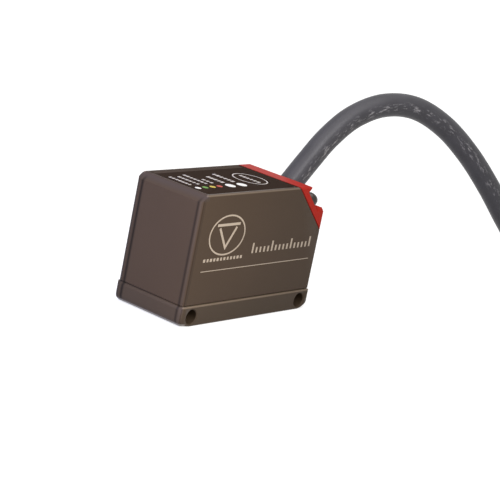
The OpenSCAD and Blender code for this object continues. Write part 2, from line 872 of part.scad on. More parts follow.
module cap_gasket() {
    color("#202022") difference() {
        on_slope() linear_extrude(gasket_t)
            square([slope_len - 2 * gasket_inset, 2 * (house_y - gasket_inset)], center = true);
        on_slope() translate([0, 0, -past]) cylinder(d = gland_d + 2 * fit_gap, h = gasket_t + 2 * past);
        at_cap_screws() translate([0, 0, -past])
            cylinder(d = cap_shank_d + 4 * fit_gap, h = gasket_t + 2 * past);
    }
}

module cap_screws() {
    color("#2b2624") at_cap_screws() translate([0, 0, cap_floor])
        pan_screw(cap_shank_d, cap_head_d, cap_head_h, cap_floor + cap_thread);
}

// Rubber bush that seals the cable in the cap and the slope
module cable_gland() {
    color("#2a2a2c") on_slope() {
        translate([0, 0, -wall - gland_in]) cylinder(d = gland_d, h = wall + gland_in + cap_t - gland_neck_t);
        cylinder(d = gland_neck_d, h = cap_t);
    }
}

// Four leads from the gland to the main board
module cable_leads() {
    color("#7a5a3a") for (i = [0 : 3]) {
        down = (i - 1.5) * lead_pitch;
        start = slope_mid - slope_out * (wall + gland_in) + [down * slope_out.x, 0, -down * slope_out.z];
        bend = start - slope_out * lead_out;
        finish = [lead_x0 + i * lead_row, main_board_y - lead_gap, lead_z - i * lead_drop];
        rod(start, bend, lead_d);
        translate(bend) sphere(d = lead_bend_d);
        rod(bend, finish, lead_d);
    }
}

// Direction of the cable at each point of its route
function cable_heading(i) = i == 0 ? slope_out : i == cable_last ? [1, 0, 0]
    : (cable_points[i + 1] - cable_points[i - 1]) / norm(cable_points[i + 1] - cable_points[i - 1]);

// Ring of points square to the cable's heading
function cable_ring(i) =
    let (heading = cable_heading(i),
         across_dir = cross(heading, [0, 1, 0]) / norm(cross(heading, [0, 1, 0])),
         third = cross(heading, across_dir))
    [for (k = [0 : cable_sides - 1])
        let (turn = 360 * k / cable_sides)
        cable_points[i] + cable_d / 2 * (cos(turn) * across_dir + sin(turn) * third)];

module cable() {
    points = [for (i = [0 : cable_last]) each cable_ring(i)];
    sides = [for (i = [0 : cable_last - 1], k = [0 : cable_sides - 1])
        let (next = (k + 1) % cable_sides, here = i * cable_sides)
        [here + k, here + cable_sides + k, here + cable_sides + next, here + next]];
    first = [for (k = [0 : cable_sides - 1]) k];
    last = [for (k = [cable_sides - 1 : -1 : 0]) cable_last * cable_sides + k];
    color("#3c3b3f") polyhedron(points, concat(sides, [first], [last]));
}

// Frame of the plug: up runs from the cable to the contacts
module on_plug() {
    translate(plug_at) rotate([0, 90, 0]) children();
}

// Moulded grip and the sleeve that carries the ring and shrouds the contacts
module plug_body() {
    color("#2c2c2e") on_plug() difference() {
        rotate_extrude() polygon([[0, 0], [grip_back_d / 2, 0], [grip_d / 2, grip_taper],
            [grip_d / 2, grip_len], [sleeve_d / 2, grip_len], [sleeve_d / 2, sleeve_end - 2 * snap_len],
            [snap_d / 2, sleeve_end - snap_len], [sleeve_d / 2, sleeve_end], [0, sleeve_end]]);
        translate([0, 0, socket_floor]) cylinder(d = socket_d, h = sleeve_len);
        for (i = [0 : grip_grooves - 1])
            rotate(360 * (i + 0.5) / grip_grooves)
                translate([grip_d / 2 + grip_groove_d / 4, 0, grip_taper + grip_rim])
                cylinder(d = grip_groove_d, h = grip_len - grip_taper - 2 * grip_rim, $fn = 20);
    }
}

module plug_insert() {
    color("#1b1b1d") on_plug() translate([0, 0, socket_floor])
        cylinder(d = socket_d - 2 * fit_gap, h = insert_len);
}

module contact_pins() {
    color("#c9a94f") on_plug() translate([0, 0, socket_floor + insert_len]) {
        cylinder(d = pin_d, h = pin_len, $fn = 20);
        for (i = [0 : pins_round - 1])
            rotate(360 * i / pins_round) translate([pin_ring_d / 2, 0, 0])
                cylinder(d = pin_d, h = pin_len, $fn = 20);
    }
}

module plug_seal() {
    color("#a83a2c") on_plug() translate([0, 0, thread_start + seal_d / 2])
        rotate_extrude() translate([relief_d / 2 + seal_d / 2, 0]) circle(d = seal_d, $fn = 24);
}

// Fluted ring with the coupling thread, free to turn on the sleeve
module coupling_ring() {
    color("#b9bcc0") on_plug() difference() {
        union() {
            translate([0, 0, ring_start]) linear_extrude(knurl_len) difference() {
                circle(d = ring_d);
                for (i = [0 : flutes - 1])
                    rotate(360 * i / flutes) translate([ring_d / 2 + flute_d / 5, 0])
                        circle(d = flute_d, $fn = 16);
            }
            translate([0, 0, thread_start]) cylinder(d = relief_d, h = relief_len);
            translate([0, 0, thread_start + relief_len]) cylinder(d = thread_d, h = thread_len - relief_len);
        }
        translate([0, 0, ring_start - past]) cylinder(d = ring_bore_d, h = knurl_len + thread_len + 2 * past);
    }
}

housing();
front_frame();
frame_gasket();
frame_screws();
laser_window();
receiver_window();
optics_carrier();
carrier_screws();
laser_holder();
laser_diode();
collimator_lens();
laser_board();
lens_barrel();
receiver_lens();
sensor_board();
image_sensor();
sensor_flex();
main_board();
board_screws();
signal_processor();
small_chips();
board_connector();
key_board();
key_board_screws();
status_leds();
light_guides();
switch_body();
switch_plunger();
select_key();
label_film();
cable_cap();
cap_gasket();
cap_screws();
cable_gland();
cable_leads();
cable();
plug_body();
plug_insert();
contact_pins();
plug_seal();
coupling_ring();
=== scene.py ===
import math

import bmesh
import bpy
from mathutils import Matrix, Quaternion, Vector


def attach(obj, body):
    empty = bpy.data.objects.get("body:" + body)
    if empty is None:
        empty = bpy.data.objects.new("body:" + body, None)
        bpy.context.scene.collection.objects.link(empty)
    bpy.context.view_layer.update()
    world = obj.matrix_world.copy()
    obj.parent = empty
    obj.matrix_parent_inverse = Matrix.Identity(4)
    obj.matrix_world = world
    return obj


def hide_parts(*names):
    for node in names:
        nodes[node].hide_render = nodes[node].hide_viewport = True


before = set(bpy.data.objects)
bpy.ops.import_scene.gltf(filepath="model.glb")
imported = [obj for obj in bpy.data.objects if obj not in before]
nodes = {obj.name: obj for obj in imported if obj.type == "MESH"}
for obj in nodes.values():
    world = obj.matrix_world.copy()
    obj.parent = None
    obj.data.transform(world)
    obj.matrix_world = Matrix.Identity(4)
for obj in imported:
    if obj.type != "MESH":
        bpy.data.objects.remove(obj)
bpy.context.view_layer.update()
scene = bpy.context.scene
scene.view_settings.view_transform = "Standard"
mm = 0.001


def srgb(red, green, blue):
    # screen colour, 0 to 255, as the linear colour that shaders take
    def linear(value):
        value = value / 255
        return value / 12.92 if value <= 0.04045 else ((value + 0.055) / 1.055) ** 2.4
    return (linear(red), linear(green), linear(blue), 1.0)


# camera, fitted to the edges of the body in the photo
cameraPlan = {
    "azimuth": -53.41, "elevation": 14.36, "roll": 11.5,
    "aim": (3.67, -4.85, 14.22), "distance": 436, "lens": 138.06, "sensor": 36,
    "clip": 10,
}


def makeCamera(plan):
    data = bpy.data.cameras.new("viewCamera")
    data.lens = plan["lens"]
    data.sensor_width = plan["sensor"]
    data.clip_start = plan["clip"] * mm
    camera = bpy.data.objects.new("viewCamera", data)
    scene.collection.objects.link(camera)
    turn = math.radians(plan["azimuth"])
    rise = math.radians(plan["elevation"])
    ahead = Vector((-math.sin(turn) * math.cos(rise), math.cos(turn) * math.cos(rise), -math.sin(rise)))
    camera.location = (Vector(plan["aim"]) - plan["distance"] * ahead) * mm
    level = ahead.to_track_quat("-Z", "Y")
    camera.rotation_mode = "QUATERNION"
    camera.rotation_quaternion = level @ Quaternion((0, 0, 1), math.radians(plan["roll"]))
    scene.camera = camera


makeCamera(cameraPlan)
print("camera set")


# meshes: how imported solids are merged, cut and eased, in metres and degrees
meshPlan = {"merge": 1e-6, "cut": 1e-7, "flatAngle": 0.6, "bevelSteps": 2, "sharpAngle": 35}


def newPiece(name, verts, faces, scale=mm):
    mesh = bpy.data.meshes.new(name)
    mesh.from_pydata([Vector(v) * scale for v in verts], [], faces)
    mesh.validate()
    piece = bpy.data.objects.new(name, mesh)
    scene.collection.objects.link(piece)
    return piece


def plainMesh(piece):
    # turns the modifiers' result into a plain mesh
    graph = bpy.context.evaluated_depsgraph_get()
    made = bpy.data.meshes.new_from_object(piece.evaluated_get(graph))
    piece.modifiers.clear()
    piece.data = made
    made.name = piece.name


def smoothPiece(piece, angle=meshPlan["sharpAngle"], crisp=None):
    # smooth shading with true corners, and flat faces that stay flat
    mesh = piece.data
    mesh.polygons.foreach_set("use_smooth", [True] * len(mesh.polygons))
    mesh.set_sharp_from_angle(angle=math.radians(angle))
    if crisp:
        # keeps the border of a trimmed flat sharp
        at, normal = crisp
        inPlane = [abs((v.co - at).dot(normal)) < meshPlan["merge"] for v in mesh.vertices]
        for edge in mesh.edges:
            if inPlane[edge.vertices[0]] and inPlane[edge.vertices[1]]:
                edge.use_edge_sharp = True
    weighted = piece.modifiers.new("weighted", "WEIGHTED_NORMAL")
    weighted.keep_sharp = True
    weighted.weight = 100
    plainMesh(piece)


def trim(copy, at, normal):
    # takes off what lies beyond a plane and closes the cut
    made = bmesh.ops.bisect_plane(copy, geom=copy.verts[:] + copy.edges[:] + copy.faces[:],
                                  dist=meshPlan["cut"], plane_co=at, plane_no=normal, clear_outer=True)
    rim = [part for part in made["geom_cut"] if isinstance(part, bmesh.types.BMEdge)]
    if rim:
        bmesh.ops.edgenet_fill(copy, edges=rim)


def splitWideFaces(copy):
    bmesh.ops.triangulate(copy, faces=[f for f in copy.faces if len(f.verts) > 4])


def cadCopy(node, name, bevel=0.0, angle=meshPlan["sharpAngle"], planes=(), crisp=None):
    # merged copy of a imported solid, trimmed by planes and with its sharp edges eased
    copy = bmesh.new()
    copy.from_mesh(nodes[node].data)
    bmesh.ops.remove_doubles(copy, verts=copy.verts, dist=meshPlan["merge"])
    for at, normal in planes:
        trim(copy, at, normal)
    if planes:
        splitWideFaces(copy)
        bmesh.ops.recalc_face_normals(copy, faces=copy.faces)
    if bevel:
        bmesh.ops.dissolve_limit(copy, angle_limit=math.radians(meshPlan["flatAngle"]),
                                 verts=copy.verts, edges=copy.edges)
        sharp = [e for e in copy.edges if len(e.link_faces) == 2
                 and e.calc_face_angle(0) > math.radians(angle)]
        bmesh.ops.bevel(copy, geom=sharp, offset=bevel * mm, segments=meshPlan["bevelSteps"],
                        profile=0.5, affect="EDGES", clamp_overlap=True)
        splitWideFaces(copy)
    piece = newPiece(name, [], [])
    copy.to_mesh(piece.data)
    copy.free()
    smoothPiece(piece, angle, crisp)
    return piece


def joinPieces(name, pieces):
    # one piece from several, whose meshes already lie in place
    joined = bmesh.new()
    for piece in pieces:
        joined.from_mesh(piece.data)
        bpy.data.objects.remove(piece)
    whole = newPiece(name, [], [])
    joined.to_mesh(whole.data)
    joined.free()
    return whole


def setFinish(piece, finishName):
    piece.data.materials.clear()
    piece.data.materials.append(finish[finishName])


def standFor(piece, node, body, finishName):
    setFinish(piece, finishName)
    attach(piece, body)
    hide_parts(node)
    return piece


def dressNode(node, dress):
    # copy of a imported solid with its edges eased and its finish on
    piece = cadCopy(node, dress["piece"], dress.get("bevel", 0.0), dress.get("angle", meshPlan["sharpAngle"]))
    return standFor(piece, node, dress.get("body", "sensor"), dress["finish"])


def addPiece(piece, body, finishName):
    setFinish(piece, finishName)
    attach(piece, body)


# shader helpers
def feed(tree, socket, value):
    if isinstance(value, bpy.types.NodeSocket):
        tree.links.new(value, socket)
    else:
        socket.default_value = value


def addNode(tree, kind, **values):
    node = tree.nodes.new(kind)
    for name, value in values.items():
        feed(tree, node.inputs[name], value)
    return node


def mathNode(tree, operation, *values, clamp=False):
    node = tree.nodes.new("ShaderNodeMath")
    node.operation = operation
    node.use_clamp = clamp
    for socket, value in zip(node.inputs, values):
        feed(tree, socket, value)
    return node.outputs[0]


def mixColour(tree, factor, first, second):
    node = tree.nodes.new("ShaderNodeMix")
    node.data_type = "RGBA"
    feed(tree, node.inputs["Factor"], factor)
    feed(tree, [s for s in node.inputs if s.name == "A" and s.type == "RGBA"][0], first)
    feed(tree, [s for s in node.inputs if s.name == "B" and s.type == "RGBA"][0], second)
    return [s for s in node.outputs if s.type == "RGBA"][0]


def newGroup(name, sockets, results):
    group = bpy.data.node_groups.new(name, "ShaderNodeTree")
    for label, kind, value in sockets:
        socket = group.interface.new_socket(label, in_out="INPUT", socket_type="NodeSocket" + kind)
        if value is not None:
            socket.default_value = value
    for label, kind in results:
        group.interface.new_socket(label, in_out="OUTPUT", socket_type="NodeSocket" + kind)
    return group, group.nodes.new("NodeGroupInput").outputs, group.nodes.new("NodeGroupOutput").inputs


def placeGroup(tree, group, place, values):
    node = tree.nodes.new("ShaderNodeGroup")
    node.node_tree = group
    feed(tree, node.inputs["Vector"], place)
    for name, value in values.items():
        node.inputs[name].default_value = value
    return node.outputs


def softLine(tree, value, middle, halfWidth):
    # 1 in the middle of a line, falling to 0 at its sides
    off = mathNode(tree, "ABSOLUTE", mathNode(tree, "SUBTRACT", value, middle))
    return mathNode(tree, "SUBTRACT", 1.0, mathNode(tree, "DIVIDE", off, halfWidth), clamp=True)


# surface grain shared by paint, plastic, rubber and metal
grainPlan = {"fineDetail": 3, "broadDetail": 4, "fineInTone": 0.35, "noiseMean": 0.5}


def makeGrainGroup(plan):
    group, given, result = newGroup("surfaceGrain", [
        ("Vector", "Vector", None), ("Grain Scale", "Float", 6000.0), ("Tone Scale", "Float", 60.0),
        ("Tone Amount", "Float", 0.5), ("Roughness", "Float", 0.5), ("Roughness Spread", "Float", 0.1),
        ("Colour", "Color", None), ("Shade", "Color", None)],
        [("Colour", "Color"), ("Roughness", "Float"), ("Height", "Float")])
    fine = addNode(group, "ShaderNodeTexNoise", Vector=given["Vector"], Scale=given["Grain Scale"],
                   Detail=plan["fineDetail"])
    broad = addNode(group, "ShaderNodeTexNoise", Vector=given["Vector"], Scale=given["Tone Scale"],
                    Detail=plan["broadDetail"])
    # tone: broad cloud plus a little of the grain
    cloud = mathNode(group, "MULTIPLY_ADD", fine.outputs["Fac"], plan["fineInTone"], broad.outputs["Fac"])
    amount = mathNode(group, "MULTIPLY", cloud, given["Tone Amount"], clamp=True)
    feed(group, result["Colour"], mixColour(group, amount, given["Colour"], given["Shade"]))
    centred = mathNode(group, "SUBTRACT", fine.outputs["Fac"], plan["noiseMean"])
    feed(group, result["Roughness"],
         mathNode(group, "MULTIPLY_ADD", centred, given["Roughness Spread"], given["Roughness"]))
    feed(group, result["Height"], fine.outputs["Fac"])
    return group


# painted shade and painted highlight line beside a rounded upright corner of the plain end, on housing and
# frame
def makePaintedEndLineGroup():
    group, given, result = newGroup("paintedEndLine", [
        ("Vector", "Vector", None), ("Across", "Float", 0.0), ("Half Width", "Float", 0.0004),
        ("End", "Float", -0.0215)],
        [("Mask", "Float")])
    apart = addNode(group, "ShaderNodeSeparateXYZ", Vector=given["Vector"]).outputs
    line = softLine(group, apart["Y"], given["Across"], given["Half Width"])
    atEnd = mathNode(group, "LESS_THAN", apart["X"], given["End"])
    feed(group, result["Mask"], mathNode(group, "MULTIPLY", line, atEnd))
    return group


# painted highlight line along an edge: a level, and how far out along X and Y it starts
def makePaintedEdgeHighlightGroup():
    group, given, result = newGroup("paintedEdgeHighlight", [
        ("Vector", "Vector", None), ("Level", "Float", 0.0), ("Half Width", "Float", 0.0002),
        ("Past X", "Float", 0.0), ("Past Y", "Float", 0.0)],
        [("Mask", "Float")])
    apart = addNode(group, "ShaderNodeSeparateXYZ", Vector=given["Vector"]).outputs
    line = softLine(group, apart["Z"], given["Level"], given["Half Width"])
    pastX = mathNode(group, "GREATER_THAN", mathNode(group, "ABSOLUTE", apart["X"]), given["Past X"])
    pastY = mathNode(group, "GREATER_THAN", mathNode(group, "ABSOLUTE", apart["Y"]), given["Past Y"])
    outside = mathNode(group, "MULTIPLY", pastX, pastY)
    feed(group, result["Mask"], mathNode(group, "MULTIPLY", line, outside))
    return group


grainGroup = makeGrainGroup(grainPlan)
paintedEndLineGroup = makePaintedEndLineGroup()
paintedEdgeHighlightGroup = makePaintedEdgeHighlightGroup()


# what a look holds unless it says otherwise, with the depth of the grain in millimetres
plainLook = {"rough": 0.5, "spread": 0.15, "grain": 6000, "cloud": 60, "tone": 0.5, "bump": 0.2,
             "depth": 0.02, "metal": 0.0, "specular": 0.5, "clear": 0.0, "paintedEndLines": (), "paintedEdgeHighlights": ()}


def paintBoreShade(tree, place, colour, boreShade):
    # painted shade inside the two cross holes, fading out towards the bottom
    apart = addNode(tree, "ShaderNodeSeparateXYZ", Vector=place).outputs
    radius = boreShade["radius"] * mm
    offX = mathNode(tree, "SUBTRACT", mathNode(tree, "ABSOLUTE", apart["X"]), boreShade["fromMiddle"] * mm)
    offZ = mathNode(tree, "SUBTRACT", apart["Z"], boreShade["level"] * mm)
    squareZ = mathNode(tree, "MULTIPLY", offZ, offZ)
    reach = mathNode(tree, "SQRT", mathNode(tree, "MULTIPLY_ADD", offX, offX, squareZ))
    inside = mathNode(tree, "LESS_THAN", reach, radius)
    raised = mathNode(tree, "MULTIPLY_ADD", offZ, 1 / radius, boreShade["midShare"], clamp=True)
    return mixColour(tree, mathNode(tree, "MULTIPLY", inside, raised), colour, boreShade["colour"])


def makeMaterial(name, look):
    look = {**plainLook, **look}
    material = bpy.data.materials.new(name)
    material.use_nodes = True
    tree = material.node_tree
    shader = tree.nodes["Principled BSDF"]
    place = tree.nodes.new("ShaderNodeTexCoord").outputs["Object"]
    grain = placeGroup(tree, grainGroup, place, {
        "Colour": look["colour"], "Shade": look["shade"], "Grain Scale": look["grain"],
        "Tone Scale": look["cloud"], "Tone Amount": look["tone"], "Roughness": look["rough"],
        "Roughness Spread": look["spread"]})
    colour = grain["Colour"]
    # painted shade and painted highlight lines at the plain end's rounded upright corners
    for across, halfWidth, lineColour in look["paintedEndLines"]:
        line = placeGroup(tree, paintedEndLineGroup, place, {"Across": across * mm, "Half Width": halfWidth * mm})
        colour = mixColour(tree, line["Mask"], colour, lineColour)
    # painted highlights along edges, and painted light on the housing's end bevel
    for level, halfWidth, pastX, pastY, highlightColour in look["paintedEdgeHighlights"]:
        edge = placeGroup(tree, paintedEdgeHighlightGroup, place, {
            "Level": level * mm, "Half Width": halfWidth * mm, "Past X": pastX * mm, "Past Y": pastY * mm})
        colour = mixColour(tree, edge["Mask"], colour, highlightColour)
    # painted shade inside the frame's cross holes
    if "boreShade" in look:
        colour = paintBoreShade(tree, place, colour, look["boreShade"])
    feed(tree, shader.inputs["Base Color"], colour)
    feed(tree, shader.inputs["Roughness"], grain["Roughness"])
    bump = addNode(tree, "ShaderNodeBump", Strength=look["bump"], Distance=look["depth"] * mm,
                   Height=grain["Height"])
    feed(tree, shader.inputs["Normal"], bump.outputs["Normal"])
    shader.inputs["Metallic"].default_value = look["metal"]
    shader.inputs["Specular IOR Level"].default_value = look["specular"]
    shader.inputs["Transmission Weight"].default_value = look["clear"]
    return material


# painted shade and painted highlight lines beside the rounded upright corners of the plain end: place along
# Y, half width, colour
paintedEndLines = [(-8.5, 0.5, srgb(46, 38, 33)), (-9.2, 0.36, srgb(84, 72, 63)), (-9.64, 0.1, srgb(58, 47, 39)),
            (7.95, 0.6, srgb(30, 25, 23)), (9.1, 0.6, srgb(62, 55, 51))]
looks = {
    "housingPaint": {"colour": srgb(80, 66, 54), "shade": srgb(66, 54, 44), "rough": 0.34, "grain": 5200,
                     "bump": 0.2, "depth": 0.02, "specular": 0.07, "paintedEndLines": paintedEndLines,
                     # painted light: a purplish tint of the light on the bevel of the plain end, and painted
                     # highlights along the upper long edges
                     "paintedEdgeHighlights": [(29.5, 1.15, 20.6, 0, srgb(76, 66, 61)),
                                   (29.8, 0.24, 0, 9.1, srgb(122, 109, 96))]},
    "framePaint": {"colour": srgb(80, 68, 57), "shade": srgb(66, 56, 47), "rough": 0.34, "grain": 5200,
                   "bump": 0.2, "depth": 0.02, "specular": 0.07, "paintedEndLines": paintedEndLines,
                   # painted shade inside the cross holes, with the share of the shade colour at mid height
                   "boreShade": {"fromMiddle": 19.35, "level": 2.25, "radius": 1.7, "midShare": 0.85,
                             "colour": srgb(44, 35, 26)},
                   # painted highlights along the upper long edges, and on the rounds under both ends
                   "paintedEdgeHighlights": [(4.6, 0.3, 0, 9.55, srgb(128, 114, 100)),
                                 (0.55, 0.4, 21, 0, srgb(158, 153, 147))]},
    "labelFilm": {"colour": srgb(51, 39, 31), "shade": srgb(42, 31, 24), "rough": 0.5, "grain": 3000,
                  "bump": 0.08, "depth": 0.01, "specular": 0.003},
    "redPlastic": {"colour": srgb(184, 50, 40), "shade": srgb(166, 42, 34), "rough": 0.4, "grain": 4200,
                   "bump": 0.15, "depth": 0.02, "specular": 0.03},
    "marginFilm": {"colour": srgb(80, 69, 61), "shade": srgb(68, 58, 51), "rough": 0.5, "grain": 5200,
                   "specular": 0.003},
    "palePrint": {"colour": srgb(187, 173, 157), "shade": srgb(173, 160, 145), "rough": 0.6, "grain": 5000},
    "whitePrint": {"colour": srgb(244, 242, 236), "shade": srgb(232, 229, 223), "rough": 0.55, "grain": 5000},
    "greyPrint": {"colour": srgb(214, 206, 200), "shade": srgb(188, 181, 175), "rough": 0.55, "grain": 5000},
    "greenPrint": {"colour": srgb(96, 150, 52), "shade": srgb(80, 130, 44), "rough": 0.55, "grain": 5000},
    "yellowPrint": {"colour": srgb(214, 190, 66), "shade": srgb(196, 170, 54), "rough": 0.55, "grain": 5000},
    "redPrint": {"colour": srgb(190, 66, 48), "shade": srgb(170, 54, 40), "rough": 0.55, "grain": 5000},
    "lightPlastic": {"colour": srgb(246, 245, 240), "shade": srgb(236, 234, 228), "rough": 0.3,
                     "grain": 4000},
    "darkSteel": {"colour": srgb(70, 66, 64), "shade": srgb(48, 45, 44), "rough": 0.3, "metal": 0.9,
                  "grain": 5200, "bump": 0.1},
    "brightSteel": {"colour": srgb(178, 178, 180), "shade": srgb(150, 150, 152), "rough": 0.3, "metal": 1.0},
    "nickel": {"colour": srgb(196, 194, 190), "shade": srgb(172, 170, 166), "rough": 0.24, "metal": 1.0,
               "bump": 0.08},
    "brass": {"colour": srgb(206, 172, 96), "shade": srgb(180, 146, 76), "rough": 0.28, "metal": 1.0},
    "carrierMetal": {"colour": srgb(150, 151, 153), "shade": srgb(124, 125, 127), "rough": 0.5, "metal": 0.9},
    "sealRubber": {"colour": srgb(34, 34, 36), "shade": srgb(26, 26, 28), "rough": 0.75, "grain": 3500},
    "blackPlastic": {"colour": srgb(40, 40, 42), "shade": srgb(30, 30, 32), "rough": 0.5, "grain": 4500},
    "plugPlastic": {"colour": srgb(46, 46, 48), "shade": srgb(35, 35, 37), "rough": 0.5, "grain": 3200,
                    "bump": 0.3, "depth": 0.03, "specular": 0.35},
    "palePlastic": {"colour": srgb(222, 218, 206), "shade": srgb(204, 200, 188), "rough": 0.5},
    "boardGreen": {"colour": srgb(42, 92, 58), "shade": srgb(30, 74, 46), "rough": 0.45, "grain": 2500},
    "flexFilm": {"colour": srgb(192, 120, 48), "shade": srgb(166, 100, 40), "rough": 0.35},
    "leadSkin": {"colour": srgb(150, 104, 66), "shade": srgb(120, 84, 54), "rough": 0.5},
    "windowGlass": {"colour": srgb(96, 16, 18), "shade": srgb(72, 10, 12), "rough": 0.08, "spread": 0.02,
                    "bump": 0.0, "clear": 0.35},
    "lensGlass": {"colour": srgb(226, 236, 240), "shade": srgb(214, 226, 232), "rough": 0.04, "spread": 0.02,
                  "bump": 0.0, "clear": 0.95},
    "jacket": {"colour": srgb(68, 67, 71), "shade": srgb(44, 43, 46), "rough": 0.42, "grain": 2600,
               "cloud": 240, "tone": 0.7, "bump": 0.3, "depth": 0.04, "specular": 0.25},
}
finish = {name: makeMaterial(name, look) for name, look in looks.items()}
print("materials made:", len(finish))


# cable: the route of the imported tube, in millimetres
cablePlan = {
    "diameter": 5.7, "length": 200, "sides": 40, "steps": 14, "sharpAngle": 50,
    "exitHeading": (math.sqrt(0.5), 0, math.sqrt(0.5)), "plugHeading": (1, 0, 0),
    "route": [(19.33, 0, 26.63), (25.5, 0, 32.8), (32, 0, 38.6), (39.5, -0.7, 43.6), (48, -2.8, 46.8),
              (57, -6, 46.8), (65.5, -10, 43), (73, -14.2, 36.6), (80, -18, 28.8), (87, -21, 20.6),
              (95, -23.2, 13), (104, -24.5, 7.3), (114, -25, 4.2), (124.5, -25, 3.1), (135.5, -25, 2.95),
              (146.5, -25, 3.05), (157.5, -25, 3.9), (168.5, -25, 5.5), (180, -25, 6.8),
              (192.3, -25, 7.3)],
    # rubbed streaks: where they lie round the jacket, 0 to 1, and how far they spread
    "rubAt": 0.225, "rubSpread": 0.085, "rubColour": srgb(150, 148, 150),
    # their noise: its scale round and along the jacket, and the levels between which it turns pale
    "rubScale": (24, 420, 1), "rubDetail": 4, "rubRough": 0.7, "rubFrom": 0.52, "rubFull": 0.68,
}


def smoothRoute(plan):
    # one smooth curve through the route's points
    points = [Vector(p) for p in plan["route"]]
    slopes = [(points[i + 1] - points[i - 1]) / 2 for i in range(1, len(points) - 1)]
    first = Vector(plan["exitHeading"]) * (points[1] - points[0]).length
    last = Vector(plan["plugHeading"]) * (points[-1] - points[-2]).length
    slopes = [first] + slopes + [last]
    curve = []
    for i in range(len(points) - 1):
        for step in range(plan["steps"]):
            u = step / plan["steps"]
            curve.append((2 * u**3 - 3 * u**2 + 1) * points[i] + (u**3 - 2 * u**2 + u) * slopes[i]
                         + (3 * u**2 - 2 * u**3) * points[i + 1] + (u**3 - u**2) * slopes[i + 1])
    return curve + [points[-1]]


def makeCable(plan):
    path = smoothRoute(plan)
    sides = plan["sides"]
    radius = plan["diameter"] / 2
    heading = Vector(plan["exitHeading"])
    side = heading.cross(Vector((0, 1, 0))).normalized()
    rings, runs, run = [], [], 0.0
    for i, point in enumerate(path):
        if 0 < i < len(path) - 1:
            newHeading = (path[i + 1] - path[i - 1]).normalized()
        elif i:
            newHeading = Vector(plan["plugHeading"])
        else:
            newHeading = heading
        side = heading.rotation_difference(newHeading) @ side
        heading = newHeading
        third = heading.cross(side)
        rings.append([point + radius * (math.cos(a) * side + math.sin(a) * third)
                      for a in (2 * math.pi * k / sides for k in range(sides))])
        run += (point - path[i - 1]).length if i else 0
        runs.append(run)
    verts = [v for ring in rings for v in ring]
    faces, corners = [], []
    for i in range(len(path) - 1):
        for k in range(sides):
            after = (k + 1) % sides
            faces.append((i * sides + k, i * sides + after, (i + 1) * sides + after, (i + 1) * sides + k))
            corners.append(((k, i), (k + 1, i), (k + 1, i + 1), (k, i + 1)))
    faces.append(tuple(reversed(range(sides))))
    faces.append(tuple((len(path) - 1) * sides + k for k in range(sides)))
    corners.append(tuple((k, 0) for k in reversed(range(sides))))
    corners.append(tuple((k, len(path) - 1) for k in range(sides)))
    piece = newPiece("cableJacket", verts, faces)
    jacket = piece.data.uv_layers.new(name="jacket")
    flat = [uv for face in corners for uv in face]
    for loop, (k, i) in zip(jacket.data, flat):
        loop.uv = (k / sides, runs[i] * mm)
    piece.data.polygons.foreach_set("use_smooth", [True] * len(piece.data.polygons))
    piece.data.set_sharp_from_angle(angle=math.radians(plan["sharpAngle"]))
    return piece, path


def rubJacket(material, plan):
    # pale rubbed streaks along one side of the jacket
    tree = material.node_tree
    shader = tree.nodes["Principled BSDF"]
    jacket = tree.nodes.new("ShaderNodeUVMap")
    jacket.uv_map = "jacket"
    stretch = addNode(tree, "ShaderNodeMapping", Vector=jacket.outputs["UV"], Scale=plan["rubScale"])
    streaks = addNode(tree, "ShaderNodeTexNoise", Vector=stretch.outputs["Vector"], Scale=1,
                      Detail=plan["rubDetail"], Roughness=plan["rubRough"])
    rubbed = addNode(tree, "ShaderNodeMapRange", Value=streaks.outputs["Fac"])
    rubbed.inputs["From Min"].default_value = plan["rubFrom"]
    rubbed.inputs["From Max"].default_value = plan["rubFull"]
    around = addNode(tree, "ShaderNodeSeparateXYZ", Vector=jacket.outputs["UV"]).outputs["X"]
    near = softLine(tree, around, plan["rubAt"], plan["rubSpread"])
    mask = mathNode(tree, "MULTIPLY", rubbed.outputs["Result"], near)
    plain = shader.inputs["Base Color"].links[0].from_socket
    feed(tree, shader.inputs["Base Color"], mixColour(tree, mask, plain, plan["rubColour"]))


rubJacket(finish["jacket"], cablePlan)
cable, cablePath = makeCable(cablePlan)
standFor(cable, "cable", "sensor", "jacket")
print("cable laid")


# coupling ring: fluted grip and a cut thread, turned about the plug's axis along X
ringPlan = {
    "axis": (-25, 7.3), "start": 217.5, "gripEnd": 226.5, "neckEnd": 228.1, "end": 233.5,
    "bore": 4.95, "gripRadius": 7.1, "neckRadius": 5.4, "chamfer": 0.4, "sharpAngle": 28,
    "flutes": 24, "fluteRadius": 0.5, "fluteOut": 0.2,
    # where the section has points, in degrees from the middle of a flute
    "fluteTurns": (-7.5, -5.6, -3.65, -3.2, -2.3, -1.2, 0, 1.2, 2.3, 3.2, 3.65, 5.6),
    # the thread's ridge is a clipped triangle, and it rises out of the neck
    "threadRadius": 6.0, "threadDepth": 0.55, "pitch": 1.0, "threadStep": 0.1,
    "ridgeSlope": 1.25, "ridgeDrop": 0.1, "runInSlope": 1.5,
}


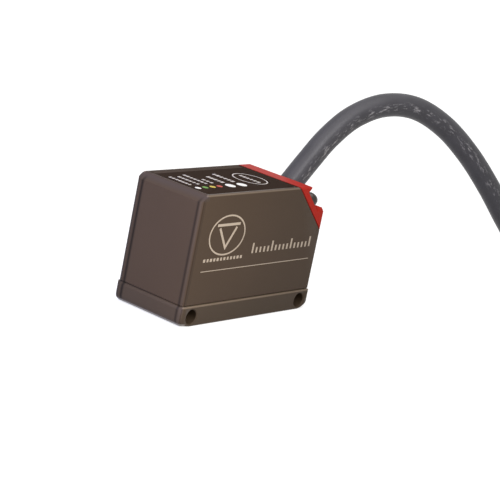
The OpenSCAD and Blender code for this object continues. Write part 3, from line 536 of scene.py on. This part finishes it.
def makeRing(plan):
    share = 360 / plan["flutes"]
    angles = [(i * share + off, off) for i in range(plan["flutes"]) for off in plan["fluteTurns"]]
    outer = plan["gripRadius"]

    def fluted(limit, off):
        # radius under the flute's round, or the limit on the lands
        centre = outer + plan["fluteOut"]
        reach = plan["fluteRadius"] ** 2 - (centre * math.sin(math.radians(off))) ** 2
        if reach <= 0:
            return limit
        return min(limit, centre * math.cos(math.radians(off)) - math.sqrt(reach))

    def threaded(x, turn):
        along = ((x - plan["neckEnd"]) / plan["pitch"] - turn / 360) % 1
        peak = plan["ridgeSlope"] * (1 - abs(2 * along - 1)) - plan["ridgeDrop"]
        ridge = min(1, max(0, peak))
        radius = plan["threadRadius"] - plan["threadDepth"] * (1 - ridge)
        runIn = plan["neckRadius"] + plan["runInSlope"] * (x - plan["neckEnd"])
        tip = plan["neckRadius"] + plan["end"] - x
        return min(radius, runIn, tip)

    chamfer = plan["chamfer"]
    bore = plan["bore"]
    rows = [(plan["start"], lambda turn, off: bore)]
    for x, limit in ((plan["start"], outer - chamfer), (plan["start"] + chamfer, outer),
                     (plan["gripEnd"] - chamfer, outer), (plan["gripEnd"], outer - chamfer)):
        rows.append((x, lambda turn, off, limit=limit: fluted(limit, off)))
    rows.append((plan["gripEnd"], lambda turn, off: plan["neckRadius"]))
    count = round((plan["end"] - plan["neckEnd"]) / plan["threadStep"])
    for k in range(count + 1):
        x = plan["neckEnd"] + k * plan["threadStep"]
        rows.append((x, lambda turn, off, x=x: threaded(x, turn)))
    rows.append((plan["end"], lambda turn, off: bore))

    y, z = plan["axis"]
    verts = []
    for x, radiusAt in rows:
        for turn, off in angles:
            radius = radiusAt(turn, off)
            angle = math.radians(turn)
            verts.append((x, y + radius * math.cos(angle), z + radius * math.sin(angle)))
    size = len(angles)
    faces = []
    for i in range(len(rows)):
        after = (i + 1) % len(rows)
        for k in range(size):
            other = (k + 1) % size
            faces.append((i * size + k, after * size + k, after * size + other, i * size + other))
    piece = newPiece("couplingRing", verts, faces)
    made = bmesh.new()
    made.from_mesh(piece.data)
    bmesh.ops.recalc_face_normals(made, faces=made.faces)
    made.to_mesh(piece.data)
    made.free()
    smoothPiece(piece, plan["sharpAngle"])
    return piece


# the plug's other solids, with the eased edge in millimetres
plugDress = {
    "plug_body": {"piece": "plugGrip", "finish": "plugPlastic", "bevel": 0.18, "angle": 20},
    "plug_insert": {"piece": "plugInsert", "finish": "blackPlastic", "bevel": 0.1},
    "contact_pins": {"piece": "contactPins", "finish": "brass", "bevel": 0.1},
    "plug_seal": {"piece": "plugSeal", "finish": "sealRubber", "body": "ring"},
}
plugPieces = [dressNode(node, dress) for node, dress in plugDress.items()]
plugPieces.append(standFor(makeRing(ringPlan), "coupling_ring", "ring", "nickel"))
print("plug made")


# body: housing and frame get forms that their solids leave out
bodyPlan = {
    # flat bevel across the plain end's upper edge: its lower and upper border, along X and Z
    "bevelLow": (-22.7, 28.4), "bevelHigh": (-20.75, 30.0),
    # rounds of the frame's four lower corners: middle of the upright round, its radius, the new
    # radius, and the turns and dips of the planes that trim them
    "cornerMiddle": (21.9, 8.9), "cornerRadius": 1.1, "lowRadius": 1.9,
    "lowTurns": (50, 66), "lowDips": (12, 28, 45, 62, 78),
}


def bevelPlane(plan):
    low, high = plan["bevelLow"], plan["bevelHigh"]
    normal = Vector((low[1] - high[1], 0, high[0] - low[0])).normalized()
    return Vector((low[0], 0, low[1])) * mm, normal


def cornerPlanes(plan):
    # planes that touch a round of the new radius at each lower corner
    planes = []
    radius = plan["lowRadius"]
    for sideX, sideY in ((-1, -1), (1, -1), (1, 1), (-1, 1)):
        for turn in plan["lowTurns"]:
            out = Vector((sideX * math.cos(math.radians(turn)), sideY * math.sin(math.radians(turn)), 0))
            middle = Vector((sideX * plan["cornerMiddle"][0], sideY * plan["cornerMiddle"][1], radius))
            middle += out * (plan["cornerRadius"] - radius)
            for dip in plan["lowDips"]:
                normal = out * math.cos(math.radians(dip)) - Vector((0, 0, math.sin(math.radians(dip))))
                planes.append(((middle + normal * radius) * mm, normal))
    return planes


# outer solids that keep their form, with the eased edge in millimetres
bodyDress = {
    "cable_cap": {"piece": "redCap", "finish": "redPlastic", "bevel": 0.22},
    "cap_screws": {"piece": "capScrews", "finish": "darkSteel", "bevel": 0.06},
    "cable_gland": {"piece": "cableGland", "finish": "sealRubber", "bevel": 0.1},
    "label_film": {"piece": "labelFilm", "finish": "labelFilm"},
    "select_key": {"piece": "selectKey", "finish": "labelFilm", "bevel": 0.06, "body": "key"},
    "light_guides": {"piece": "lightGuides", "finish": "lightPlastic", "bevel": 0.05},
    "frame_screws": {"piece": "frameScrews", "finish": "darkSteel", "bevel": 0.04},
    "carrier_screws": {"piece": "carrierScrews", "finish": "darkSteel", "bevel": 0.03},
    "laser_window": {"piece": "laserWindow", "finish": "windowGlass", "bevel": 0.08},
    "receiver_window": {"piece": "receiverWindow", "finish": "windowGlass", "bevel": 0.08},
}


def dressBody(plan, dressed):
    bevel = bevelPlane(plan)
    shell = cadCopy("housing", "housingShell", planes=[bevel], crisp=bevel)
    standFor(shell, "housing", "sensor", "housingPaint")
    base = cadCopy("front_frame", "frontFrame", planes=cornerPlanes(plan))
    standFor(base, "front_frame", "sensor", "framePaint")
    for node, dress in dressed.items():
        dressNode(node, dress)


dressBody(bodyPlan, bodyDress)
print("body dressed")


# prints: thin ink on the near side, the label and the key
inkPlan = {
    # above and below the surface, thickness of a dash, and the limit of a corner's mitre
    "height": 0.016, "sink": 0.004, "block": 0.02, "mitre": 0.3,
    # the two surfaces
    "side": -9.7, "label": 30.0,
}


def onSide(u, v, height):
    return (u, inkPlan["side"] - height, v)


def onLabel(u, v, height):
    return (u, v, inkPlan["label"] + height)


def makeStroke(name, path, width, place, closed=False):
    # flat line of ink along a path, as one closed prism
    points = [Vector(p) for p in path]
    count = len(points)
    edges = []
    for i, point in enumerate(points):
        before = points[i - 1] if i or closed else None
        after = points[(i + 1) % count] if i < count - 1 or closed else None
        into = (point - before).normalized() if before else (after - point).normalized()
        away = (after - point).normalized() if after else into
        bend = (into + away).normalized()
        across = Vector((-bend.y, bend.x)) * width / 2 / max(inkPlan["mitre"], bend.dot(into))
        edges.append((point + across, point - across))
    verts = []
    for left, right in edges:
        for height in (-inkPlan["sink"], inkPlan["height"]):
            verts += [place(left.x, left.y, height), place(right.x, right.y, height)]
    faces = []
    for i in range(count if closed else count - 1):
        a, b = 4 * i, 4 * ((i + 1) % count)
        faces += [(a, b, b + 1, a + 1), (a + 2, a + 3, b + 3, b + 2),
                  (a, a + 2, b + 2, b), (a + 1, b + 1, b + 3, a + 3)]
    if not closed:
        last = 4 * (count - 1)
        faces += [(0, 1, 3, 2), (last, last + 2, last + 3, last + 1)]
    return newPiece(name, verts, faces)


def makeDot(name, centre, diameter, place, sides=32):
    turns = [2 * math.pi * k / sides for k in range(sides)]
    rim = [(centre[0] + diameter / 2 * math.cos(a), centre[1] + diameter / 2 * math.sin(a)) for a in turns]
    verts = [place(u, v, height) for height in (-inkPlan["sink"], inkPlan["height"]) for u, v in rim]
    faces = [tuple(reversed(range(sides))), tuple(range(sides, 2 * sides))]
    faces += [(k, (k + 1) % sides, sides + (k + 1) % sides, sides + k) for k in range(sides)]
    return newPiece(name, verts, faces)


def oval(centre, halfU, halfV, count=64):
    return [(centre[0] + halfU * math.cos(a), centre[1] + halfV * math.sin(a))
            for a in (2 * math.pi * k / count for k in range(count))]


# row of dashes or of ticks
def makeDashGroup():
    group = bpy.data.node_groups.new("dashRow", "GeometryNodeTree")
    face = group.interface
    for label, kind in (("Start", "Vector"), ("Step", "Vector"), ("Dash", "Vector"), ("Spread", "Vector"),
                        ("Count", "Int"), ("Seed", "Int"), ("Material", "Material")):
        face.new_socket(label, in_out="INPUT", socket_type="NodeSocket" + kind)
    face.new_socket("Geometry", in_out="OUTPUT", socket_type="NodeSocketGeometry")
    given = group.nodes.new("NodeGroupInput").outputs
    line = group.nodes.new("GeometryNodeMeshLine")
    line.mode = "OFFSET"
    feed(group, line.inputs["Count"], given["Count"])
    feed(group, line.inputs["Start Location"], given["Start"])
    feed(group, line.inputs["Offset"], given["Step"])
    least = group.nodes.new("ShaderNodeVectorMath")
    least.operation = "SUBTRACT"
    least.inputs[0].default_value = (1, 1, 1)
    feed(group, least.inputs[1], given["Spread"])
    share = group.nodes.new("FunctionNodeRandomValue")
    share.data_type = "FLOAT_VECTOR"
    feed(group, share.inputs["Min"], least.outputs["Vector"])
    share.inputs["Max"].default_value = (1, 1, 1)
    feed(group, share.inputs["Seed"], given["Seed"])
    size = group.nodes.new("ShaderNodeVectorMath")
    size.operation = "MULTIPLY"
    feed(group, size.inputs[0], share.outputs["Value"])
    feed(group, size.inputs[1], given["Dash"])
    block = addNode(group, "GeometryNodeMeshCube", Size=(1, 1, 1))
    spread = addNode(group, "GeometryNodeInstanceOnPoints", Points=line.outputs["Mesh"],
                     Instance=block.outputs["Mesh"], Scale=size.outputs["Vector"])
    real = addNode(group, "GeometryNodeRealizeInstances", Geometry=spread.outputs["Instances"])
    inked = addNode(group, "GeometryNodeSetMaterial", Geometry=real.outputs["Geometry"],
                    Material=given["Material"])
    feed(group, group.nodes.new("NodeGroupOutput").inputs["Geometry"], inked.outputs["Geometry"])
    return group


dashGroup = makeDashGroup()
dashSockets = {item.name: item.identifier for item in dashGroup.interface.items_tree
               if item.in_out == "INPUT"}


def makeDashes(name, row, finishName):
    piece = newPiece(name, [], [])
    maker = piece.modifiers.new("dashes", "NODES")
    maker.node_group = dashGroup
    for label in ("Start", "Step", "Dash"):
        maker[dashSockets[label]] = [value * mm for value in row[label]]
    maker[dashSockets["Spread"]] = row.get("Spread", (0.0, 0.0, 0.0))
    maker[dashSockets["Count"]] = row["Count"]
    maker[dashSockets["Seed"]] = row.get("Seed", 0)
    maker[dashSockets["Material"]] = finish[finishName]
    plainMesh(piece)
    return piece


sidePrint = {
    "rule": {"from": (-18.9, 12.5), "to": (19.9, 12.5), "width": 0.17},
    "mark": {"centre": (-12.1, 20.5), "halfX": 6.0, "halfZ": 4.5, "width": 0.36, "beamWidth": 0.6,
             "beam": [(-15.0, 22.2), (-12.1, 17.6), (-9.2, 22.2)], "head": [(-16.0, 22.9), (-8.2, 22.9)]},
    "caption": {"Start": (-18.4, 0, 15.0), "Step": (1.15, 0, 0), "Dash": (0.8, inkPlan["block"], 0.7),
                "Count": 12, "Spread": (0.3, 0.0, 0.0), "Seed": 3},
    "ticks": {"Start": (-1.9, 0, 16.15), "Step": (1.4, 0, 0), "Dash": (0.55, inkPlan["block"], 1.3),
              "Count": 16},
    # these lengthen every fifth tick
    "tickTops": {"Start": (-1.9, 0, 17.35), "Step": (7.0, 0, 0), "Dash": (0.55, inkPlan["block"], 1.1),
                 "Count": 4},
}


def printSide(plan):
    rule, mark = plan["rule"], plan["mark"]
    rim = oval(mark["centre"], mark["halfX"], mark["halfZ"])
    parts = [makeStroke("rule", [rule["from"], rule["to"]], rule["width"], onSide),
             makeStroke("ring", rim, mark["width"], onSide, closed=True),
             makeStroke("beam", mark["beam"], mark["beamWidth"], onSide),
             makeStroke("head", mark["head"], mark["beamWidth"], onSide)]
    level = inkPlan["side"] - inkPlan["height"] + inkPlan["block"] / 2
    for name in ("caption", "ticks", "tickTops"):
        row = dict(plan[name])
        row["Start"] = (row["Start"][0], level, row["Start"][2])
        parts.append(makeDashes(name, row, "palePrint"))
    addPiece(joinPieces("sidePrint", parts), "sensor", "palePrint")


labelPrint = {
    "dots": [("whitePrint", (-18.6, -4.35)), ("greenPrint", (-16.2, -4.35)), ("yellowPrint", (-13.7, -4.35)),
             ("redPrint", (-11.3, -4.35))],
    "dotSize": 1.45,
    # share of its place that a dash fills, and by how much some are shorter
    "dashFill": 0.82, "dashSpread": 0.4,
    # rows of dashes across the label: place along X, thickness, first and last Y, count
    "rows": [(-18.5, 0.8, -2.3, 4.4, 7), (-15.8, 0.8, -2.3, 4.1, 6), (-13.1, 0.8, -2.3, 5.0, 7),
             (-11.0, 0.8, -2.3, 1.2, 3), (-7.5, 1.1, -2.4, 2.7, 5), (-3.8, 1.1, -2.4, 4.2, 6)],
    # paint-coloured margin on the far side, and the film's dark end at the slope
    "margin": {"from": (-20.2, 7.85), "to": (10.2, 7.85), "width": 1.9},
    "end": {"from": (10.85, -8.9), "to": (10.85, 8.9), "width": 0.8},
    "keyRing": {"centre": (3.35, -1.07), "halfX": 3.75, "halfY": 4.2, "width": 0.3},
    "keyRow": (3.2, 1.0, -4.2, 2.0, 6),
}


def labelRow(plan, row, seed):
    x, thick, first, last, count = row
    pitch = (last - first) / count
    level = inkPlan["label"] + inkPlan["height"] - inkPlan["block"] / 2
    return makeDashes("row", {"Start": (x, first + pitch / 2, level), "Step": (0, pitch, 0),
                              "Dash": (thick, pitch * plan["dashFill"], inkPlan["block"]),
                              "Spread": (0.0, plan["dashSpread"], 0.0),
                              "Count": count, "Seed": seed}, "greyPrint")


def printLabel(plan):
    for finishName, centre in plan["dots"]:
        dot = makeDot(finishName + "Dot", centre, plan["dotSize"], onLabel)
        addPiece(dot, "sensor", finishName)
    rows = [labelRow(plan, row, seed) for seed, row in enumerate(plan["rows"])]
    addPiece(joinPieces("labelPrint", rows), "sensor", "greyPrint")
    for name, finishName in (("margin", "marginFilm"), ("end", "labelFilm")):
        values = plan[name]
        strip = makeStroke(name + "Strip", [values["from"], values["to"]], values["width"], onLabel)
        addPiece(strip, "sensor", finishName)
    ring = plan["keyRing"]
    rim = oval(ring["centre"], ring["halfX"], ring["halfY"])
    keyParts = [makeStroke("ring", rim, ring["width"], onLabel, closed=True),
                labelRow(plan, plan["keyRow"], len(rows))]
    addPiece(joinPieces("keyPrint", keyParts), "key", "greyPrint")


printSide(sidePrint)
printLabel(labelPrint)
print("prints laid")


# inner pieces keep their solids and get their finish
innerFinish = {
    "frame_gasket": "sealRubber", "cap_gasket": "sealRubber", "optics_carrier": "carrierMetal",
    "laser_holder": "brass", "laser_diode": "brass", "collimator_lens": "lensGlass",
    "receiver_lens": "lensGlass", "laser_board": "boardGreen", "sensor_board": "boardGreen",
    "main_board": "boardGreen", "key_board": "boardGreen", "lens_barrel": "blackPlastic",
    "image_sensor": "blackPlastic", "signal_processor": "blackPlastic", "small_chips": "blackPlastic",
    "switch_body": "blackPlastic", "sensor_flex": "flexFilm", "board_screws": "brightSteel",
    "key_board_screws": "brightSteel", "board_connector": "palePlastic", "status_leds": "palePlastic",
    "switch_plunger": "palePlastic", "cable_leads": "leadSkin",
}
for nodeName, finishName in innerFinish.items():
    setFinish(nodes[nodeName], finishName)


# floor and light, in metres
stagePlan = {
    "floorHalf": 2, "floorColour": (0.55, 0.55, 0.55, 1), "floorRough": 0.9,
    # the floor's glow near the object and far from it, and the distances where these hold
    "glowNear": 0.7, "glowFar": 0.9, "near": 0.15, "far": 0.7,
    # the room's light on the object, the white behind it, and what the lamps point at
    "skyLevel": 0.3, "backLevel": 1.0, "lampAim": (0, 0, 0.015),
}
lampPlan = {
    "overhead": {"at": (-0.05, -0.05, 0.75), "size": 0.7, "watts": 3.5, "tint": (1.0, 0.98, 0.96)},
    "nearSide": {"at": (-0.055, -0.07, 0.045), "size": 0.05, "watts": 0.05, "tint": (1.0, 0.92, 0.78)},
    # shines on the cable alone
    "cableSide": {"at": (-0.04, -0.2, 0.32), "size": 0.12, "watts": 0.7, "tint": (1.0, 0.99, 1.0),
                  "only": [cable]},
    "endSide": {"at": (-0.14, 0.02, 0.07), "size": 0.1, "watts": 0.17, "tint": (0.55, 0.58, 1.0)},
}


def directRays(tree):
    # 1 for what the camera sees straight on, in a mirror or through glass
    ray = tree.nodes.new("ShaderNodeLightPath").outputs
    shiny = mathNode(tree, "ADD", ray["Is Glossy Ray"], ray["Is Transmission Ray"])
    return mathNode(tree, "ADD", ray["Is Camera Ray"], shiny, clamp=True)


def makeFloor(plan):
    half = plan["floorHalf"]
    corners = [(-half, -half, 0), (half, -half, 0), (half, half, 0), (-half, half, 0)]
    floor = newPiece("floor", corners, [(0, 1, 2, 3)], scale=1)
    material = bpy.data.materials.new("paleFloor")
    material.use_nodes = True
    tree = material.node_tree
    shader = tree.nodes["Principled BSDF"]
    shader.inputs["Base Color"].default_value = plan["floorColour"]
    shader.inputs["Roughness"].default_value = plan["floorRough"]
    shader.inputs["Specular IOR Level"].default_value = 0.0
    shader.inputs["Emission Color"].default_value = (1, 1, 1, 1)
    # the glow makes up for the lamps' light, which thins out with distance
    reach = tree.nodes.new("ShaderNodeVectorMath")
    reach.operation = "LENGTH"
    feed(tree, reach.inputs[0], tree.nodes.new("ShaderNodeTexCoord").outputs["Object"])
    glow = addNode(tree, "ShaderNodeMapRange", Value=reach.outputs["Value"])
    for socket, name in (("From Min", "near"), ("From Max", "far"),
                         ("To Min", "glowNear"), ("To Max", "glowFar")):
        glow.inputs[socket].default_value = plan[name]
    feed(tree, shader.inputs["Emission Strength"],
         mathNode(tree, "MULTIPLY", directRays(tree), glow.outputs["Result"]))
    floor.data.materials.append(material)


def makeWorld(plan):
    world = bpy.data.worlds.new("studio")
    scene.world = world
    world.use_nodes = True
    tree = world.node_tree
    back = tree.nodes["Background"]
    back.inputs["Color"].default_value = (1, 1, 1, 1)
    level = addNode(tree, "ShaderNodeMapRange", Value=directRays(tree))
    level.inputs["To Min"].default_value = plan["skyLevel"]
    level.inputs["To Max"].default_value = plan["backLevel"]
    feed(tree, back.inputs["Strength"], level.outputs["Result"])


def makeLamps(plan, aim):
    for name, values in plan.items():
        data = bpy.data.lights.new(name, "AREA")
        data.shape = "SQUARE"
        data.size = values["size"]
        data.energy = values["watts"]
        data.color = values["tint"]
        lamp = bpy.data.objects.new(name, data)
        scene.collection.objects.link(lamp)
        lamp.location = values["at"]
        lamp.visible_camera = False
        if "only" in values:
            lit = bpy.data.collections.new(name + "Lit")
            for piece in values["only"]:
                lit.objects.link(piece)
            lamp.light_linking.receiver_collection = lit
        lamp.rotation_euler = (Vector(aim) - lamp.location).to_track_quat("-Z", "Y").to_euler()


makeFloor(stagePlan)
makeWorld(stagePlan)
makeLamps(lampPlan, stagePlan["lampAim"])
print("stage lit")
